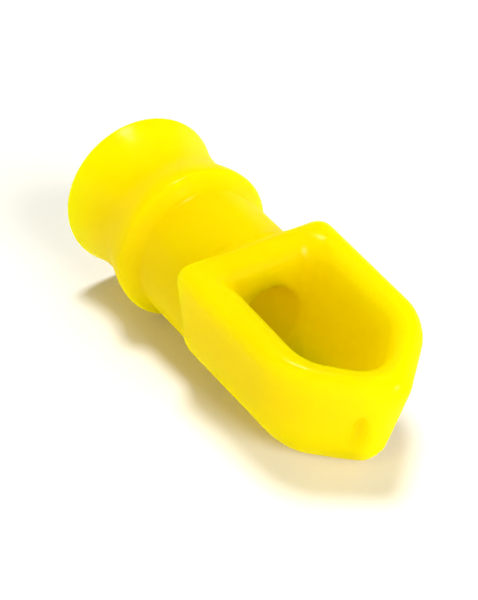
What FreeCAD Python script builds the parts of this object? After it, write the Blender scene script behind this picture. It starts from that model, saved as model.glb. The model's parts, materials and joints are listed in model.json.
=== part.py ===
"""Line eye: a one-piece plastic moulding with a flared line bore at one end and a looped eye at the other.

The part is drawn on its own axis first: +X runs along the line bore from the flared end to the nose of
the eye, +Y is across and +Z runs through the window of the eye.  It is then laid down as it rests on a
table, on its ring and on the underside of its nose, with the table at z = 0.
"""
import FreeCAD, Part
import math
import os

from FreeCAD import Vector

# Driving dimensions, in millimetres and degrees, on the part's own axis
FLARE_RADIUS = 16.9
FLARE_RIM_ROUND = 0.9
WAIST_X = 12.6
WAIST_RADIUS = 14.7
RING_X = 21.6
RING_RADIUS = 16.3
NECK_START_X = 25.3
NECK_START_RADIUS = 13.7
NECK_END_RADIUS = 13.2
NECK_RUN_OUT_X = 44.4
NECK_RUN_OUT_RADIUS = 8.0

BORE_RADIUS = 6.25
BELL_RADIUS = 12.6
BELL_DEPTH = 15.0
BORE_EXIT_ROUND = 1.0

EYE_REAR_X = 39.8
EYE_REAR_HALF_WIDTH = 16.3
SHOULDER_X = 70.3
SHOULDER_HALF_WIDTH = 14.5
NOSE_CORNER_X = 81.8
TOP_AT_REAR = 13.6
TOP_AT_NOSE = 12.3
BOTTOM_AT_REAR = 9.2
BOTTOM_AT_NOSE = 10.4
FLANK_FOOT = 2.0
SIDE_DRAFT = 6.0
NOSE_DRAFT = 7.0
REAR_ROUND_UNDER = 4.0
SIDE_ROUND_UNDER = 8.0
NOSE_ROUND_UNDER = 4.2
REAR_CORNER_ROUND = 3.6
REAR_CORNER_ROUND_BELOW = 4.6
SHOULDER_ROUND = 13.0
NOSE_ROUND = 3.8
TOP_EDGE_ROUND = 3.2
FLANK_LEVELS = 3
ROUND_UNDER_LEVELS = 5

WINDOW_REAR_X = 46.0
WINDOW_HALF_WIDTH = 9.4
WINDOW_SHOULDER_X = 67.5
WINDOW_NOSE_X = 76.4
WINDOW_REAR_TAPER = 3.2
WINDOW_SIDE_TAPER = 4.2
WINDOW_NOSE_TAPER = 4.5
WINDOW_REAR_ROUND = 2.6
WINDOW_SHOULDER_ROUND = 5.5
WINDOW_NOSE_ROUND = 5.0
WINDOW_TOP_ROUND = 2.8
WINDOW_BOTTOM_ROUND = 1.2

GATE_MARK_HEIGHT = 7.6
GATE_MARK_WIDTH = 2.4
GATE_MARK_DEPTH = 1.0
GATE_MARK_X = 76.7
GATE_MARK_Y = -4.0
GATE_MARK_Z = 0.6

# How the shape is worked out
EASE_REACH = 0.45
CUTTER_OVERRUN = 1.0
TOUCHING = 0.1
RIM_BAND = 2.0
RESTING_FACETS = 0.02
STEEPEST_TILT = 20.0
TILT_PRECISION = 0.001

AXIS_X = Vector(1, 0, 0)
AXIS_Y = Vector(0, 1, 0)
AXIS_Z = Vector(0, 0, 1)
CENTRE = Vector(0, 0, 0)


def at(x, radius):
    """A point of a turned profile, drawn in the XY plane."""
    return Vector(x, radius, 0)


def ease_curve(start, end):
    """An S-shaped curve that leaves start and reaches end parallel to the axis."""
    reach = EASE_REACH * (end.x - start.x)
    curve = Part.BezierCurve()
    curve.setPoles([start, start + AXIS_X * reach, end - AXIS_X * reach, end])
    return curve.toShape()


def arc_level_at(flat_end, far_end):
    """An arc from far_end that comes in parallel to the axis at flat_end."""
    run = flat_end.x - far_end.x
    rise = far_end.y - flat_end.y
    radius = (run * run + rise * rise) / (2 * rise)
    half_turn = math.asin(run / radius) / 2
    middle = Vector(flat_end.x - radius * math.sin(half_turn), 0, 0)
    middle.y = flat_end.y + radius * (1 - math.cos(half_turn))
    return Part.Arc(far_end, middle, flat_end).toShape()


def line(start, end):
    """A straight edge."""
    return Part.LineSegment(start, end).toShape()


def turned(edges):
    """The solid that a closed profile sweeps around the bore axis."""
    return Part.Face(Part.Wire(edges)).revolve(CENTRE, AXIS_X, 360)


def turned_body():
    """Flare, waist, ring and neck: one turned solid whose end tapers off inside the eye."""
    lean = FLARE_RIM_ROUND * math.sin(math.radians(45))
    rim_centre = at(FLARE_RIM_ROUND, FLARE_RADIUS - FLARE_RIM_ROUND)
    rim_back = at(0, FLARE_RADIUS - FLARE_RIM_ROUND)
    rim_middle = rim_centre + Vector(-lean, lean, 0)
    rim_top = at(FLARE_RIM_ROUND, FLARE_RADIUS)
    waist = at(WAIST_X, WAIST_RADIUS)
    crest = at(RING_X, RING_RADIUS)
    neck_start = at(NECK_START_X, NECK_START_RADIUS)
    neck_end = at(EYE_REAR_X, NECK_END_RADIUS)
    run_out = at(NECK_RUN_OUT_X, NECK_RUN_OUT_RADIUS)
    edges = [
        line(at(0, 0), rim_back),
        Part.Arc(rim_back, rim_middle, rim_top).toShape(),
        arc_level_at(waist, rim_top),
        ease_curve(waist, crest),
        ease_curve(crest, neck_start),
        line(neck_start, neck_end),
        line(neck_end, run_out),
        line(run_out, at(NECK_RUN_OUT_X, 0)),
        line(at(NECK_RUN_OUT_X, 0), at(0, 0)),
    ]
    return turned(edges)


def line_bore():
    """The bore for the line, with its trumpet mouth at the flared end."""
    throat = at(BELL_DEPTH, BORE_RADIUS)
    mouth = at(0, BELL_RADIUS)
    exit_x = WINDOW_REAR_X + WINDOW_HALF_WIDTH
    front_x = -CUTTER_OVERRUN
    edges = [
        line(at(front_x, 0), at(front_x, BELL_RADIUS)),
        line(at(front_x, BELL_RADIUS), mouth),
        arc_level_at(throat, mouth),
        line(throat, at(exit_x, BORE_RADIUS)),
        line(at(exit_x, BORE_RADIUS), at(exit_x, 0)),
        line(at(exit_x, 0), at(front_x, 0)),
    ]
    return turned(edges)


def crossing(first, second):
    """Where two lines cross in plan, each given as (point, direction)."""
    (p, d), (q, e) = first, second
    along = ((q.x - p.x) * e.y - (q.y - p.y) * e.x) / (d.x * e.y - d.y * e.x)
    return Vector(p.x + d.x * along, p.y + d.y * along, 0)


def moved_in(start, end, distance):
    """The line from start to end, moved to its right by distance, as (point, direction)."""
    direction = (end - start).normalize()
    return start + Vector(direction.y, -direction.x, 0) * distance, direction


def house_corners(rear_x, half_width, shoulder_x, shoulder_half_width, nose_x, inset=(0, 0, 0)):
    """The corners of a house-shaped outline; inset moves its rear, sides and nose faces inward."""
    rear = Vector(rear_x, half_width, 0)
    shoulder = Vector(shoulder_x, shoulder_half_width, 0)
    nose = Vector(nose_x, 0, 0)
    rear_line = moved_in(Vector(rear_x, 0, 0), rear, inset[0])
    side_line = moved_in(rear, shoulder, inset[1])
    nose_line = moved_in(shoulder, nose, inset[2])
    middle_line = (CENTRE, AXIS_X)
    half = [crossing(rear_line, side_line), crossing(side_line, nose_line), crossing(nose_line, middle_line)]
    mirrored = [Vector(corner.x, -corner.y, 0) for corner in (half[1], half[0])]
    return half + mirrored


def rounded_outline(corners, radii, rear_z, nose_z):
    """A closed wire through the corners, each rounded by its own radius, on a plane that slopes along x."""
    stops = []
    for index, corner in enumerate(corners):
        back = (corners[index - 1] - corner).normalize()
        ahead = (corners[(index + 1) % len(corners)] - corner).normalize()
        half_angle = math.acos(back.dot(ahead)) / 2
        radius = radii[index]
        cut = radius / math.tan(half_angle)
        bisector = (back + ahead).normalize()
        middle = corner + bisector * (radius / math.sin(half_angle) - radius)
        stops.append([corner + back * cut, middle, corner + ahead * cut])
    edges = []
    for index, (start, middle, end) in enumerate(stops):
        following = stops[(index + 1) % len(stops)][0]
        edges.append(Part.Arc(start, middle, end).toShape())
        edges.append(line(end, following))
    outline = Part.Wire(edges)
    slope = math.atan2(nose_z - rear_z, NOSE_CORNER_X - EYE_REAR_X)
    outline.rotate(Vector(EYE_REAR_X, 0, 0), AXIS_Y, -math.degrees(slope))
    outline.translate(Vector(0, 0, rear_z))
    return outline


def eye_level(rear_z, nose_z, turn):
    """The eye's outline at one level; turn is how far the flanks have rounded under, in degrees."""
    inward = 1 - math.cos(math.radians(turn))
    depth = TOP_AT_REAR - rear_z
    rear_inset = REAR_ROUND_UNDER * inward
    side_inset = depth * math.tan(math.radians(SIDE_DRAFT)) + SIDE_ROUND_UNDER * inward
    nose_inset = depth * math.tan(math.radians(NOSE_DRAFT)) + NOSE_ROUND_UNDER * inward
    inset = (rear_inset, side_inset, nose_inset)
    size = (EYE_REAR_X, EYE_REAR_HALF_WIDTH, SHOULDER_X, SHOULDER_HALF_WIDTH, NOSE_CORNER_X)
    rear_round = REAR_CORNER_ROUND + (REAR_CORNER_ROUND_BELOW - REAR_CORNER_ROUND) * inward
    shoulder_round = SHOULDER_ROUND - side_inset
    radii = [rear_round, shoulder_round, NOSE_ROUND, shoulder_round, rear_round]
    return rounded_outline(house_corners(*size, inset), radii, rear_z, nose_z)


def eye_block():
    """The eye before its window is cut: drafted flanks that round under to a flat underside."""
    levels = []
    for step in range(FLANK_LEVELS):
        share = step / FLANK_LEVELS
        rear_z = TOP_AT_REAR - (TOP_AT_REAR + FLANK_FOOT) * share
        nose_z = TOP_AT_NOSE - (TOP_AT_NOSE + FLANK_FOOT) * share
        levels.append(eye_level(rear_z, nose_z, 0))
    for step in range(ROUND_UNDER_LEVELS + 1):
        turn = 90 * step / ROUND_UNDER_LEVELS
        share = math.sin(math.radians(turn))
        rear_z = -FLANK_FOOT - (BOTTOM_AT_REAR - FLANK_FOOT) * share
        nose_z = -FLANK_FOOT - (BOTTOM_AT_NOSE - FLANK_FOOT) * share
        levels.append(eye_level(rear_z, nose_z, turn))
    block = Part.makeLoft(levels, True, False).Solids[0]
    return block.makeFillet(TOP_EDGE_ROUND, edges_on_face(block, Vector(0, 0, 1)))


def edges_on_face(solid, normal):
    """The edges of the flat face whose outward normal is closest to the given direction."""
    flat = [face for face in solid.Faces if isinstance(face.Surface, Part.Plane)]
    best = max(flat, key=lambda face: face.normalAt(0, 0).dot(normal))
    return best.OuterWire.Edges


def window():
    """The opening through the eye, which narrows towards the underside."""
    size = (WINDOW_REAR_X, WINDOW_HALF_WIDTH, WINDOW_SHOULDER_X, WINDOW_HALF_WIDTH, WINDOW_NOSE_X)
    radii = [
        WINDOW_REAR_ROUND,
        WINDOW_SHOULDER_ROUND,
        WINDOW_NOSE_ROUND,
        WINDOW_SHOULDER_ROUND,
        WINDOW_REAR_ROUND,
    ]
    taper = (WINDOW_REAR_TAPER, WINDOW_SIDE_TAPER, WINDOW_NOSE_TAPER)
    grow = tuple(-amount for amount in taper)
    depth = TOP_AT_REAR + BOTTOM_AT_NOSE
    above = rounded_outline(house_corners(*size, grow), radii, TOP_AT_REAR + depth, TOP_AT_REAR + depth)
    below = rounded_outline(house_corners(*size, taper), radii, -BOTTOM_AT_NOSE, -BOTTOM_AT_NOSE)
    return Part.makeLoft([above, below], True, True)


def window_rim(body, side):
    """The edges where the window breaks through: side is 1 for the top of the eye, -1 for its underside."""
    reach = WINDOW_HALF_WIDTH + TOUCHING
    rim = []
    for edge in body.Edges:
        box = edge.BoundBox
        along = box.XMin > WINDOW_REAR_X - TOUCHING and box.XMax < WINDOW_NOSE_X
        across = box.YMin > -reach and box.YMax < reach
        above = box.ZMin > TOP_AT_NOSE - RIM_BAND
        below = box.ZMax < RIM_BAND - BOTTOM_AT_REAR
        if along and across and (above if side > 0 else below):
            rim.append(edge)
    return rim


def bore_exit(body):
    """The edges where the bore opens into the window."""
    rim = []
    for edge in body.Edges:
        box = edge.BoundBox
        in_window = box.XMin > WINDOW_REAR_X - TOUCHING and box.XMax < WINDOW_REAR_X + WINDOW_HALF_WIDTH
        off_bore = [abs(math.hypot(end.Y, end.Z) - BORE_RADIUS) for end in edge.Vertexes]
        if in_window and max(off_bore) < TOUCHING:
            rim.append(edge)
    return rim


def gate_mark():
    """The shallow oval dimple on one nose face, where the moulding was fed."""
    radius = GATE_MARK_WIDTH / 2
    stretch = FreeCAD.Matrix()
    stretch.scale(GATE_MARK_DEPTH / radius, 1, GATE_MARK_HEIGHT / GATE_MARK_WIDTH)
    dimple = Part.makeSphere(radius).transformGeometry(stretch)
    facing = math.degrees(math.atan2(NOSE_CORNER_X - SHOULDER_X, SHOULDER_HALF_WIDTH))
    dimple.rotate(CENTRE, AXIS_Y, NOSE_DRAFT)
    dimple.rotate(CENTRE, AXIS_Z, -facing)
    dimple.translate(Vector(GATE_MARK_X, GATE_MARK_Y, GATE_MARK_Z))
    return dimple


def line_eye_body():
    """The whole moulding, on its own axis."""
    body = eye_block().fuse(turned_body())
    body = body.cut(window()).Solids[0]
    body = body.makeFillet(WINDOW_TOP_ROUND, window_rim(body, 1))
    body = body.makeFillet(WINDOW_BOTTOM_ROUND, window_rim(body, -1))
    body = body.cut(line_bore()).Solids[0]
    body = body.makeFillet(BORE_EXIT_ROUND, bore_exit(body))
    return body.cut(gate_mark()).Solids[0]


def height_when_tilted(point, tilt):
    """How high a point lies once the part is turned nose down by tilt degrees."""
    angle = math.radians(tilt)
    return point.z * math.cos(angle) - point.x * math.sin(angle)


def resting_tilt(body):
    """The nose-down angle at which the ring and the nose touch the table together."""
    points = body.tessellate(RESTING_FACETS)[0]
    barrel = [point for point in points if point.x < EYE_REAR_X]
    eye = [point for point in points if point.x > WINDOW_REAR_X]
    low, high = 0.0, STEEPEST_TILT
    while high - low > TILT_PRECISION:
        tilt = (low + high) / 2
        barrel_height = min(height_when_tilted(point, tilt) for point in barrel)
        eye_height = min(height_when_tilted(point, tilt) for point in eye)
        if eye_height > barrel_height:
            low = tilt
        else:
            high = tilt
    return tilt


def laid_down(body):
    """The body as it rests: table at z = 0, footprint centred on the origin."""
    tilt = resting_tilt(body)
    body.rotate(CENTRE, AXIS_Y, tilt)
    box = body.optimalBoundingBox(True, False)
    shift = Vector(-box.Center.x, -box.Center.y, -box.ZMin)
    body.translate(shift)
    print("tilt", round(tilt, 3), "degrees; flare centre at", shift)
    print("box", box.XLength, box.YLength, box.ZLength)
    return body


def save(shape, name):
    """Writes one piece to the parts folder."""
    shape.exportStep(os.path.join("parts", name + ".step"))


os.makedirs("parts", exist_ok=True)
save(laid_down(line_eye_body()), "line_eye_body")
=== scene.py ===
import json
import math

import bpy
import numpy as np
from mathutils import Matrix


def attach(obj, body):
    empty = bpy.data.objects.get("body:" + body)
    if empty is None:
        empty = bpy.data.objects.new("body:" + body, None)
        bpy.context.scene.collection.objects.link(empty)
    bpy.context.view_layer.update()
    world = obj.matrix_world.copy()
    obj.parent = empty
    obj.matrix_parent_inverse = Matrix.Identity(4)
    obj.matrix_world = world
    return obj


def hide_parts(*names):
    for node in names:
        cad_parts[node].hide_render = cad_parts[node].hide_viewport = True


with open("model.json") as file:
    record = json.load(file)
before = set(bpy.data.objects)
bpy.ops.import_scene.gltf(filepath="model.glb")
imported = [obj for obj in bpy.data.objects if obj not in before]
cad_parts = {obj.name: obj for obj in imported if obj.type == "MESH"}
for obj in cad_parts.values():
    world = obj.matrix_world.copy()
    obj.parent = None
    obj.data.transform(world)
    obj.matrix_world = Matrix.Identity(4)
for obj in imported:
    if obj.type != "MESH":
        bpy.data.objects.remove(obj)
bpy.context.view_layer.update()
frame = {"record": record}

import openvdb
from mathutils import Matrix, Vector

# The moulding is shaped as a distance field on its own axis, in millimetres: +X runs from the flared end
# to the nose, +Y is across and +Z goes up through the window.  It is then placed by the frame's bore axis.
# These dimensions repeat the part's own, because the frame holds its mesh and mounts but not its dimensions.
FLARE_RADIUS = 16.9
FLARE_RIM_ROUND = 0.9
WAIST_X = 12.6
WAIST_RADIUS = 14.7
RING_X = 21.6
RING_RADIUS = 16.3
NECK_START_X = 25.3
NECK_START_RADIUS = 13.7
NECK_END_X = 39.8
NECK_END_RADIUS = 13.2
NECK_RUN_OUT_X = 44.4
NECK_RUN_OUT_RADIUS = 8.0
NECK_BLEND = 1.6

BORE_RADIUS = 6.25
BELL_RADIUS = 12.6
BELL_DEPTH = 15.0
BORE_EDGE_ROUND = 0.9

EYE_REAR_X = 39.8
EYE_REAR_HALF_WIDTH = 16.3
SHOULDER_X = 70.3
SHOULDER_HALF_WIDTH = 14.5
NOSE_CORNER_X = 81.8
TOP_AT_REAR = 13.6
TOP_AT_NOSE = 12.3
BOTTOM_AT_REAR = 9.2
BOTTOM_AT_NOSE = 10.4
SIDE_DRAFT = math.radians(6.0)
NOSE_DRAFT = math.radians(7.0)
REAR_CORNER_ROUND = 3.6
SHOULDER_ROUND = 13.0
NOSE_ROUND = 3.8
TOP_EDGE_ROUND = 3.2
ROUND_UNDER_SIDE = 8.0
ROUND_UNDER_NOSE = 4.6
ROUND_UNDER_DEPTH = 7.8
ROUND_UNDER_EASE_LEAD = 8.0
ROUND_UNDER_EASE_LENGTH = 12.0

WINDOW_REAR_X = 46.0
WINDOW_HALF_WIDTH = 9.4
WINDOW_SHOULDER_X = 67.5
WINDOW_NOSE_X = 76.4
WINDOW_REAR_TAPER = 3.2
WINDOW_SIDE_TAPER = 4.2
WINDOW_NOSE_TAPER = 4.5
WINDOW_REAR_ROUND = 2.6
WINDOW_SHOULDER_ROUND = 5.5
WINDOW_NOSE_ROUND = 5.0
WINDOW_TOP_ROUND = 2.3
WINDOW_REAR_TOP_ROUND = 4.0
WINDOW_NOSE_TOP_ROUND = 3.2
WINDOW_BOTTOM_ROUND = 1.2
WINDOW_REAR_EASE_LENGTH = 5.0
WINDOW_NOSE_EASE_LEAD = 3.0
WINDOW_NOSE_EASE_LENGTH = 6.0

GATE_MARK_PLACE = (76.7, -4.0, 0.6)
GATE_MARK_SIZE = (1.0, 1.1, 3.8)
GATE_MARK_SOFTNESS = 0.5

SCAR_HEIGHT = 0.8
SCAR_STARTS_X = 77.2
SCAR_MIDDLE_Z = -5.6
SCAR_HALF_LENGTH = 2.6
SCAR_HALF_WIDTH = 2.4
SCAR_RIPPLES = ((3.1, 1.2, 0.4), (5.7, -3.2, 1.9), (8.3, 4.4, 3.0))

# How far the skin is held inside the part's own surface, and how finely the field is sampled
SHY_OF_CAD = 0.03
VOXEL = 0.3
BAND_VOXELS = 3
MARGIN = 1.5
SLOPE_STEP = 0.05
MM = 0.001

# The plastic.  Each noise has a scale, a detail and a stretch along X, Y and Z.  Lengths are in metres.
FLOW_NOISE = (55, 3, (0.35, 1, 1))
SKIN_NOISE = (900, 4, (1, 1, 1))
SINK_NOISE = (120, 2, (1, 1, 1))
SCUFF_NOISE = (700, 5, (0.12, 1, 1))
NOISE_LOW = 0.3
NOISE_HIGH = 0.7
DEEP_YELLOW = (0.735, 0.497, 0.0, 1)
PALE_YELLOW = (0.785, 0.547, 0.0, 1)
# Painted shade: the gate mark's dimple and its surroundings are coloured a deeper yellow than the rest of
# the plastic.
GATE_PAINTED_SHADE = (0.74, 0.44, 0.0, 1)
GATE_PAINTED_SHADE_REACH = (0.0006, 0.0024)
GATE_PAINTED_SHADE_SQUASH = (1, 1, 0.4)
GLOSS_RANGE = (0.12, 0.22)
SINK_BUMP = (0.0004, 0.35)
SKIN_BUMP = (0.00004, 0.3)
COAT_WEIGHT = 0.12
SCATTER_REACH = (0.9, 0.8, 0.03)
SCATTER_SCALE = 0.045

FLOOR_GREY = (0.9, 0.9, 0.9, 1)
FLOOR_ROUGHNESS = 0.9
FLOOR_HALF_WIDTH = 0.8

CAMERA_AIM = (0.0012, -0.0021, 0.01455)
CAMERA_AZIMUTH = math.radians(-32.804)
CAMERA_ELEVATION = math.radians(33.844)
CAMERA_ROLL = math.radians(-1.116)
CAMERA_DISTANCE = 0.1529
CAMERA_LENS = 51.35
CAMERA_CLIP_START = 0.005

HORIZON_GLOW = 0.97
ZENITH_GLOW = 0.12
GLOW_FADES_AT = (0.2, 0.5)
LIGHT_DISTANCE = 3.0
# Each light's name, azimuth and elevation in degrees, width in metres, power in watts, and colour
LIGHTS = (
    ("overhead", 152, 84, 0.83, 59, (1, 1, 1)),
    ("front", 5, 26, 1.33, 72, (1, 1, 1)),
    ("warm_fill", -75, 42, 1.67, 19, (1, 0.88, 0.02)),
)


# ---------------------------------------------------------------- distance fields
def round_and(first, second, radius):
    """The overlap of two fields, with the edge between them rounded."""
    inside = np.minimum(np.maximum(first, second), -radius)
    return inside + np.hypot(np.maximum(first + radius, 0), np.maximum(second + radius, 0))


def round_or(first, second, radius):
    """Two fields joined, with a fillet where they meet."""
    return -round_and(-first, -second, radius)


def corner_radius(radius, turn):
    """The radius for round_and that leaves a corner of that true radius where an outline turns by turn."""
    return radius * math.tan(turn / 2) * math.sin(turn)


def ease(start, end, share):
    """A smooth change from start to end as share goes from 0 to 1."""
    share = np.clip(share, 0, 1)
    return start + (end - start) * share * share * (3 - 2 * share)


def arc_level_at(flat_x, flat_radius, far_x, far_radius, x):
    """The radius along an arc that leaves the far point and comes in level at the flat point."""
    run = flat_x - far_x
    rise = far_radius - flat_radius
    sweep = (run * run + rise * rise) / (2 * rise)
    back = np.clip(flat_x - x, 0, run)
    return flat_radius + sweep - np.sqrt(sweep * sweep - back * back)


def around_axis(profile, x, off_axis):
    """The field of a turned shape whose radius is profile(x)."""
    slope = (profile(x + SLOPE_STEP) - profile(x - SLOPE_STEP)) / (2 * SLOPE_STEP)
    return (off_axis - profile(x)) / np.sqrt(1 + slope * slope)


def barrel_radius(x):
    """Flare, waist, ring, neck and the neck's run-out inside the eye."""
    flare = arc_level_at(WAIST_X, WAIST_RADIUS, FLARE_RIM_ROUND, FLARE_RADIUS, x)
    rise = ease(WAIST_RADIUS, RING_RADIUS, (x - WAIST_X) / (RING_X - WAIST_X))
    fall = ease(RING_RADIUS, NECK_START_RADIUS, (x - RING_X) / (NECK_START_X - RING_X))
    neck = np.interp(
        x,
        (NECK_START_X, NECK_END_X, NECK_RUN_OUT_X),
        (NECK_START_RADIUS, NECK_END_RADIUS, NECK_RUN_OUT_RADIUS),
    )
    before_neck = np.where(x < WAIST_X, flare, np.where(x < RING_X, rise, fall))
    return np.where(x < NECK_START_X, before_neck, neck)


def bore_radius(x):
    """The bell mouth and the straight bore."""
    bell = arc_level_at(BELL_DEPTH, BORE_RADIUS, 0, BELL_RADIUS, x)
    return np.where(x < BELL_DEPTH, bell, BORE_RADIUS)


def nose_direction(shoulder_x, half_width, nose_x):
    """The outward normal of a nose face on the +Y side, and its turn from the side."""
    face = math.hypot(nose_x - shoulder_x, half_width)
    normal = (half_width / face, (nose_x - shoulder_x) / face)
    return normal, math.acos(normal[1])


def barrel_field(x, y, z):
    """The flare, waist, ring and neck, closed at the flared face and inside the eye."""
    off_axis = np.hypot(y, z)
    side = around_axis(barrel_radius, x, off_axis)
    barrel = round_and(side, -x, FLARE_RIM_ROUND)
    return np.maximum(barrel, x - NECK_RUN_OUT_X)


def house_field(x, rear_x, side, nose_face, nose_face_other, rounds, turns):
    """A house-shaped outline: a rear line, two sides and two nose faces, with rounded corners."""
    rear_round, shoulder_round, nose_round = rounds
    shoulder_turn, nose_turn = turns
    nose = round_and(nose_face, nose_face_other, corner_radius(nose_round, nose_turn))
    walls = round_and(rear_x - x, side, rear_round)
    return round_and(walls, nose, corner_radius(shoulder_round, shoulder_turn))


def eye_outline(x, y, z):
    """The eye's drafted flanks, before its top and underside close it."""
    depth = np.maximum(TOP_AT_REAR - z, 0)
    taper = (EYE_REAR_HALF_WIDTH - SHOULDER_HALF_WIDTH) / (SHOULDER_X - EYE_REAR_X)
    lean = math.atan(taper)
    half_width = EYE_REAR_HALF_WIDTH - (x - EYE_REAR_X) * taper
    side = (np.abs(y) - half_width) * math.cos(lean) + depth * math.tan(SIDE_DRAFT)
    normal, turn = nose_direction(SHOULDER_X, SHOULDER_HALF_WIDTH, NOSE_CORNER_X)
    inset = depth * math.tan(NOSE_DRAFT)
    ahead = (x - NOSE_CORNER_X) * normal[0] + inset
    return house_field(
        x, EYE_REAR_X, side,
        ahead + y * normal[1], ahead - y * normal[1],
        (REAR_CORNER_ROUND, SHOULDER_ROUND, NOSE_ROUND),
        (turn - lean, math.pi - 2 * turn),
    )


def round_under(outline, underside, x):
    """Closes the flanks with an underside, rounded widely at the sides and less at the nose."""
    share = (x - SHOULDER_X + ROUND_UNDER_EASE_LEAD) / ROUND_UNDER_EASE_LENGTH
    across = ease(ROUND_UNDER_SIDE, ROUND_UNDER_NOSE, share)
    reach = np.maximum(outline / across + 1, 0)
    drop = np.maximum(underside / ROUND_UNDER_DEPTH + 1, 0)
    corner = (np.hypot(reach, drop) - 1) * np.minimum(across, ROUND_UNDER_DEPTH)
    inside = np.minimum(np.maximum(outline / across, underside / ROUND_UNDER_DEPTH) + 1, 0)
    return corner + inside * np.minimum(across, ROUND_UNDER_DEPTH)


def eye_field(x, y, z):
    """The eye without its window: flanks, a top that slopes to the nose, and a rounded underside."""
    share = (x - EYE_REAR_X) / (NOSE_CORNER_X - EYE_REAR_X)
    top = z - (TOP_AT_REAR + (TOP_AT_NOSE - TOP_AT_REAR) * share)
    underside = -z - (BOTTOM_AT_REAR + (BOTTOM_AT_NOSE - BOTTOM_AT_REAR) * share)
    block = round_and(eye_outline(x, y, z), top, TOP_EDGE_ROUND)
    return round_under(block, underside, x)


def window_field(x, y, z):
    """The opening through the eye, which narrows towards the underside."""
    depth = (TOP_AT_REAR - z) / (TOP_AT_REAR + BOTTOM_AT_NOSE)
    side = np.abs(y) - WINDOW_HALF_WIDTH + WINDOW_SIDE_TAPER * depth
    normal, turn = nose_direction(WINDOW_SHOULDER_X, WINDOW_HALF_WIDTH, WINDOW_NOSE_X)
    ahead = (x - WINDOW_NOSE_X) * normal[0] + WINDOW_NOSE_TAPER * depth
    return house_field(
        x, WINDOW_REAR_X + WINDOW_REAR_TAPER * depth, side,
        ahead + y * normal[1], ahead - y * normal[1],
        (WINDOW_REAR_ROUND, WINDOW_SHOULDER_ROUND, WINDOW_NOSE_ROUND),
        (turn, math.pi - 2 * turn),
    )


def window_top_round(x):
    """The rounding of the window's upper rim, which is widest on the rear bar and at the nose."""
    rear_share = (x - WINDOW_REAR_X) / WINDOW_REAR_EASE_LENGTH
    nose_share = (x - WINDOW_SHOULDER_X + WINDOW_NOSE_EASE_LEAD) / WINDOW_NOSE_EASE_LENGTH
    at_rear = ease(WINDOW_REAR_TOP_ROUND, WINDOW_TOP_ROUND, rear_share)
    at_nose = ease(WINDOW_TOP_ROUND, WINDOW_NOSE_TOP_ROUND, nose_share)
    return np.where(x < WINDOW_SHOULDER_X - WINDOW_NOSE_EASE_LENGTH, at_rear, at_nose)


def gate_mark_field(x, y, z):
    """The oval dimple on one nose face, where the moulding was fed."""
    normal, _ = nose_direction(SHOULDER_X, SHOULDER_HALF_WIDTH, NOSE_CORNER_X)
    across_x, across_y = normal[1], normal[0]
    dx, dy, dz = x - GATE_MARK_PLACE[0], y - GATE_MARK_PLACE[1], z - GATE_MARK_PLACE[2]
    into = dx * normal[0] - dy * normal[1]
    along = dx * across_x + dy * across_y
    deep, wide, tall = GATE_MARK_SIZE
    spread = np.sqrt((into / deep) ** 2 + (along / wide) ** 2 + (dz / tall) ** 2)
    return (spread - 1) * deep


def trim_scar(x, y, z):
    """How far the nose's lower edge stands proud, where the feed was trimmed off raggedly."""
    ragged = sum(np.sin(z * up + y * across + shift) for up, across, shift in SCAR_RIPPLES)
    near = (y / SCAR_HALF_WIDTH) ** 2 + ((z - SCAR_MIDDLE_Z) / SCAR_HALF_LENGTH) ** 4
    ahead = np.clip(x - SCAR_STARTS_X, 0, 1)
    return SCAR_HEIGHT * ragged / len(SCAR_RIPPLES) * np.exp(-near) * ahead


def moulding_field(x, y, z):
    """The whole part: negative inside the plastic."""
    solid = round_or(barrel_field(x, y, z), eye_field(x, y, z), NECK_BLEND)
    rim = np.where(z > 0, window_top_round(x), WINDOW_BOTTOM_ROUND)
    solid = round_and(solid, -window_field(x, y, z), rim)
    bore = around_axis(bore_radius, x, np.hypot(y, z))
    bore = np.maximum(bore, x - WINDOW_REAR_X - WINDOW_HALF_WIDTH)
    solid = round_and(solid, -bore, BORE_EDGE_ROUND)
    solid = round_and(solid, -gate_mark_field(x, y, z), GATE_MARK_SOFTNESS)
    return solid - trim_scar(x, y, z) + SHY_OF_CAD


# ---------------------------------------------------------------- the moulding's mesh
def own_axis_to_frame():
    """Places the moulding's own axis in the frame, from the record's bore and flared face."""
    mounts = {mount["name"]: mount for mount in frame["record"]["mounts"]}
    forward = -Vector(mounts["line_bore"]["axis"]).normalized()
    across = Vector((0, 1, 0))
    upward = forward.cross(across)
    face = Vector(mounts["flare_face"]["pos_m"])
    bore = Vector(mounts["line_bore"]["pos_m"])
    start = bore + forward * (face - bore).dot(forward)
    turn = Matrix((forward, across, upward)).transposed().to_4x4()
    return Matrix.Translation(start) @ turn @ Matrix.Scale(MM, 4)


def sampled_field():
    """The moulding's field on a grid of voxels, and where the grid starts."""
    low = np.array((-MARGIN, -FLARE_RADIUS - MARGIN, -FLARE_RADIUS - MARGIN))
    high = np.array((NOSE_CORNER_X + MARGIN, FLARE_RADIUS + MARGIN, FLARE_RADIUS + MARGIN))
    counts = np.ceil((high - low) / VOXEL).astype(int) + 1
    xs, ys, zs = (low[k] + VOXEL * np.arange(counts[k]) for k in range(3))
    x, y, z = np.meshgrid(xs, ys, zs, indexing="ij", sparse=True)
    return moulding_field(x, y, z), low


def moulding():
    """The moulding as one smooth closed mesh."""
    field, low = sampled_field()
    band = BAND_VOXELS * VOXEL
    grid = openvdb.FloatGrid(band)
    grid.copyFromArray(np.clip(field, -band, band).astype(np.float32))
    corners, quads = grid.convertToQuads(0.0)
    points = corners * VOXEL + low
    mesh = bpy.data.meshes.new("line_eye_moulding")
    mesh.from_pydata(points.tolist(), [], quads[:, ::-1].tolist())
    mesh.transform(own_axis_to_frame())
    mesh.shade_smooth()
    mesh.update()
    piece = bpy.data.objects.new("line_eye_moulding", mesh)
    bpy.context.scene.collection.objects.link(piece)
    return piece


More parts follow.
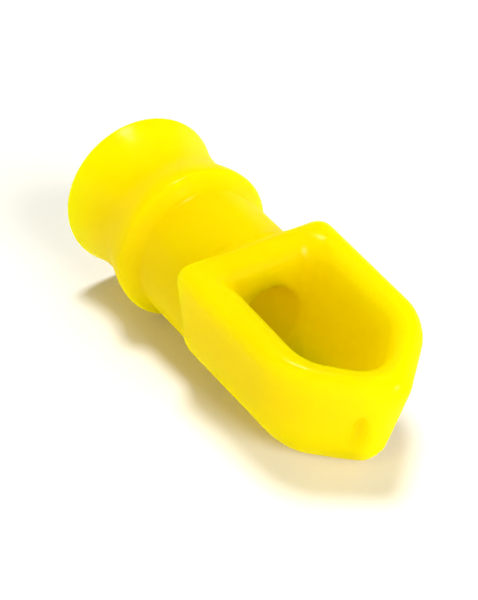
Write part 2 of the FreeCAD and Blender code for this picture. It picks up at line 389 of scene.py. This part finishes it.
# ---------------------------------------------------------------- materials
def new_material(name):
    """A new material, with its nodes, its links and its Principled shader."""
    material = bpy.data.materials.new(name)
    material.use_nodes = True
    nodes = material.node_tree.nodes
    return material, nodes, material.node_tree.links, nodes["Principled BSDF"]


def add_noise(nodes, links, place, scale, detail, stretch):
    """A noise over the plastic; a stretch below 1 draws its cells out along that direction."""
    mapping = nodes.new("ShaderNodeMapping")
    mapping.inputs["Scale"].default_value = stretch
    links.new(place, mapping.inputs["Vector"])
    noise = nodes.new("ShaderNodeTexNoise")
    noise.inputs["Scale"].default_value = scale
    noise.inputs["Detail"].default_value = detail
    links.new(mapping.outputs["Vector"], noise.inputs["Vector"])
    return noise.outputs["Fac"]


def spread_over(nodes, links, value, low, high, from_low=NOISE_LOW, from_high=NOISE_HIGH):
    """Takes a value from one range, which is a noise's usual one unless given, onto another."""
    spread = nodes.new("ShaderNodeMapRange")
    spread.inputs["From Min"].default_value = from_low
    spread.inputs["From Max"].default_value = from_high
    spread.inputs["To Min"].default_value = low
    spread.inputs["To Max"].default_value = high
    links.new(value, spread.inputs["Value"])
    return spread.outputs["Result"]


def add_bump(nodes, links, height, depth, strength, under=None):
    """Raises the surface by height, on top of the bumps under it if there are any."""
    bump = nodes.new("ShaderNodeBump")
    bump.inputs["Distance"].default_value = depth
    bump.inputs["Strength"].default_value = strength
    links.new(height, bump.inputs["Height"])
    if under is not None:
        links.new(under, bump.inputs["Normal"])
    return bump.outputs["Normal"]


def paint_shade_at_gate(nodes, links, place, colour):
    """Paints shade into the colour, deeper in and around the gate mark's dimple."""
    apart = nodes.new("ShaderNodeVectorMath")
    apart.operation = "SUBTRACT"
    apart.inputs[1].default_value = own_axis_to_frame() @ Vector(GATE_MARK_PLACE)
    links.new(place, apart.inputs[0])
    squashed = nodes.new("ShaderNodeVectorMath")
    squashed.operation = "MULTIPLY"
    squashed.inputs[1].default_value = GATE_PAINTED_SHADE_SQUASH
    links.new(apart.outputs["Vector"], squashed.inputs[0])
    away = nodes.new("ShaderNodeVectorMath")
    away.operation = "LENGTH"
    links.new(squashed.outputs["Vector"], away.inputs[0])
    share = spread_over(nodes, links, away.outputs["Value"], 1, 0, *GATE_PAINTED_SHADE_REACH)
    mix = nodes.new("ShaderNodeMix")
    mix.data_type = "RGBA"
    links.new(share, mix.inputs["Factor"])
    links.new(colour, mix.inputs["A"])
    mix.inputs["B"].default_value = GATE_PAINTED_SHADE
    return mix.outputs["Result"]


def yellow_plastic():
    """Glossy moulded plastic that lets some light through, with flow marks, a soft skin, scuffs and painted
    shade in the gate mark's dimple.
    """
    material, nodes, links, shader = new_material("yellow_plastic")
    place = nodes.new("ShaderNodeTexCoord").outputs["Object"]
    flow = add_noise(nodes, links, place, *FLOW_NOISE)
    skin = add_noise(nodes, links, place, *SKIN_NOISE)
    sink = add_noise(nodes, links, place, *SINK_NOISE)
    scuffs = add_noise(nodes, links, place, *SCUFF_NOISE)

    colour = nodes.new("ShaderNodeValToRGB")
    colour.color_ramp.elements[0].position = NOISE_LOW
    colour.color_ramp.elements[0].color = DEEP_YELLOW
    colour.color_ramp.elements[1].position = NOISE_HIGH
    colour.color_ramp.elements[1].color = PALE_YELLOW
    links.new(flow, colour.inputs["Fac"])
    # Painted shade, darkening the colour in the gate mark's dimple.
    gate_shaded = paint_shade_at_gate(nodes, links, place, colour.outputs["Color"])
    links.new(gate_shaded, shader.inputs["Base Color"])

    gloss = spread_over(nodes, links, scuffs, *GLOSS_RANGE)
    links.new(gloss, shader.inputs["Roughness"])
    links.new(gloss, shader.inputs["Coat Roughness"])
    waves = add_bump(nodes, links, sink, *SINK_BUMP)
    fine = add_bump(nodes, links, skin, *SKIN_BUMP, waves)
    links.new(fine, shader.inputs["Normal"])
    links.new(fine, shader.inputs["Coat Normal"])
    shader.inputs["Specular IOR Level"].default_value = 0.0
    shader.inputs["Coat Weight"].default_value = COAT_WEIGHT
    shader.inputs["Subsurface Weight"].default_value = 1.0
    shader.inputs["Subsurface Radius"].default_value = SCATTER_REACH
    shader.inputs["Subsurface Scale"].default_value = SCATTER_SCALE
    return material


def floor_material():
    """A plain, pale, matt floor."""
    material, _, _, shader = new_material("pale_floor")
    shader.inputs["Base Color"].default_value = FLOOR_GREY
    shader.inputs["Roughness"].default_value = FLOOR_ROUGHNESS
    return material


# ---------------------------------------------------------------- camera, floor and light
def direction(azimuth, elevation):
    """The unit vector that points at an azimuth and elevation, in radians."""
    level = math.cos(elevation)
    return Vector((math.cos(azimuth) * level, math.sin(azimuth) * level, math.sin(elevation)))


def add_camera():
    """The camera, which looks down past the nose and along the part to its flare."""
    data = bpy.data.cameras.new("camera")
    data.lens = CAMERA_LENS
    data.clip_start = CAMERA_CLIP_START
    camera = bpy.data.objects.new("camera", data)
    back = direction(CAMERA_AZIMUTH, CAMERA_ELEVATION)
    level = (-back).to_track_quat("-Z", "Y").to_matrix()
    rolled = level @ Matrix.Rotation(CAMERA_ROLL, 3, "Z")
    camera.matrix_world = Matrix.Translation(Vector(CAMERA_AIM) + back * CAMERA_DISTANCE) @ rolled.to_4x4()
    bpy.context.scene.collection.objects.link(camera)
    bpy.context.scene.camera = camera


def add_floor():
    """A square floor at z = 0."""
    half = FLOOR_HALF_WIDTH
    mesh = bpy.data.meshes.new("floor")
    corners = [(-half, -half, 0), (half, -half, 0), (half, half, 0), (-half, half, 0)]
    mesh.from_pydata(corners, [], [(0, 1, 2, 3)])
    mesh.materials.append(floor_material())
    floor = bpy.data.objects.new("floor", mesh)
    bpy.context.scene.collection.objects.link(floor)


def add_area_light(name, azimuth, elevation, size, power, colour):
    """A round soft light that shines at the origin from the given direction, in degrees."""
    data = bpy.data.lights.new(name, "AREA")
    data.shape = "DISK"
    data.size = size
    data.energy = power
    data.color = colour
    light = bpy.data.objects.new(name, data)
    toward = direction(math.radians(azimuth), math.radians(elevation))
    light.location = toward * LIGHT_DISTANCE
    light.rotation_mode = "QUATERNION"
    light.rotation_quaternion = toward.to_track_quat("Z", "Y")
    bpy.context.scene.collection.objects.link(light)


def add_sky():
    """A pale surround at the horizon and a dim one overhead, so that shadows keep their depth."""
    world = bpy.data.worlds.new("studio")
    world.use_nodes = True
    nodes, links = world.node_tree.nodes, world.node_tree.links
    split = nodes.new("ShaderNodeSeparateXYZ")
    links.new(nodes.new("ShaderNodeTexCoord").outputs["Generated"], split.inputs["Vector"])
    glow = spread_over(nodes, links, split.outputs["Z"], HORIZON_GLOW, ZENITH_GLOW, *GLOW_FADES_AT)
    links.new(glow, nodes["Background"].inputs["Strength"])
    nodes["Background"].inputs["Color"].default_value = (1, 1, 1, 1)
    bpy.context.scene.world = world


def add_studio():
    """The surround and the lights, with colours shown as they are."""
    add_sky()
    bpy.context.scene.view_settings.view_transform = "Standard"
    for name, azimuth, elevation, size, power, colour in LIGHTS:
        add_area_light(name, azimuth, elevation, size, power, colour)


add_camera()
add_floor()
add_studio()

body = moulding()
body.data.materials.append(yellow_plastic())
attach(body, "root")
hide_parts("line_eye_body")
